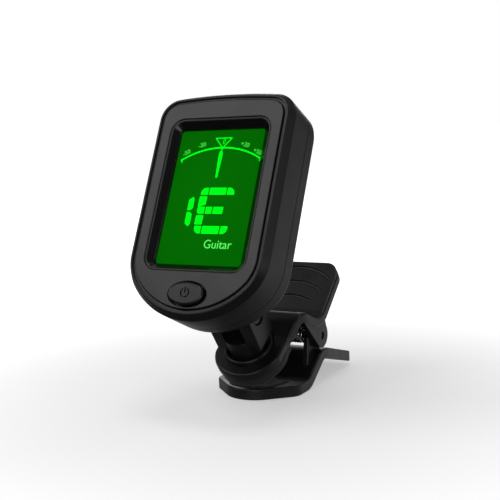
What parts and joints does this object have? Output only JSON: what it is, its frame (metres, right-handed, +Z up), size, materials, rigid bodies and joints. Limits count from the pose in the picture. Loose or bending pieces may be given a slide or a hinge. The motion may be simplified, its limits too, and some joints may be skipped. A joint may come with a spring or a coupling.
{
  "type": "clip on tuner",
  "caption": "Clip-on instrument tuner: lit display head with one button on a tilting, swivelling yoke, carried by a spring clip with rubber pads.",
  "frame": {"origin": "centre of the flat rest face under the lower jaw", "axes": "+X right, +Y to the back of the clip, +Z up from the rest face; the display faces forward and up"},
  "size_m": [0.03, 0.0553, 0.0604],
  "materials": {
    "shell_black": "fine matt moulded",
    "plate_black": "satin",
    "gloss_black": "polished",
    "button_black": "satin",
    "clip_black": "fine matt moulded",
    "pad_rubber": "soft matt",
    "clear_lens": "clear",
    "display": "lit green panel",
    "light_guide": "translucent white",
    "board_green": "solder mask",
    "steel": "nickel plated",
    "spring_steel": "bright wire",
    "cell_steel": "satin nickel",
    "contact_brass": "plain"
  },
  "bodies": {
    "base": {"lower_jaw": "clip_black", "lower_pad": "pad_rubber", "hinge_pin": "steel", "torsion_spring": "spring_steel"},
    "upper": {"upper_jaw": "clip_black", "upper_pad": "pad_rubber", "swivel_ring": "clip_black"},
    "swivel": {"yoke": "clip_black", "tilt_pin": "steel", "tilt_nut": "steel", "swivel_washer": "steel", "swivel_screw": "steel"},
    "head": {"front_plate": "plate_black", "front_shell": "shell_black", "back_shell": "shell_black", "window_bezel": "gloss_black", "display_lens": "clear_lens", "lcd_panel": "display", "backlight": "light_guide", "display_connector": "pad_rubber", "circuit_board": "board_green", "tuner_chip": "gloss_black", "button_switch": "steel", "battery_cell": "cell_steel", "battery_contact_neg": "contact_brass", "battery_contact_pos": "contact_brass", "piezo_sensor": "contact_brass", "case_screws": "steel"},
    "button": {"power_button": "button_black"},
    "cap": {"battery_cap": "shell_black"}
  },
  "joints": [
    {"name": "jaw_open", "type": "hinge", "parent": "base", "child": "upper", "pos_m": [0, 0.0128, 0.01], "axis": [-1, 0, 0], "range_deg": [0, 34], "stiffness_Nm_per_rad": 0.08, "springref_deg": -34.38, "deforming": ["torsion_spring"]},
    {"name": "swivel_turn", "type": "hinge", "parent": "upper", "child": "swivel", "pos_m": [0, -0.002, 0.01], "axis": [0, -0.5736, 0.8192], "range_deg": [-180, 180]},
    {"name": "head_tilt", "type": "hinge", "parent": "swivel", "child": "head", "pos_m": [0, -0.00684, 0.01796], "axis": [1, 0, 0], "range_deg": [-45, 60]},
    {"name": "button_press", "type": "slide", "parent": "head", "child": "button", "axis": [0, 0.9038, -0.428], "range_m": [0, 0.0005], "stiffness_N_per_m": 300, "springref_m": -0.0006},
    {"name": "cap_turn", "type": "hinge", "parent": "head", "child": "cap", "pos_m": [0, -0.00512, 0.03983], "axis": [0, 0.9038, -0.428], "range_deg": [0, 30]}
  ]
}
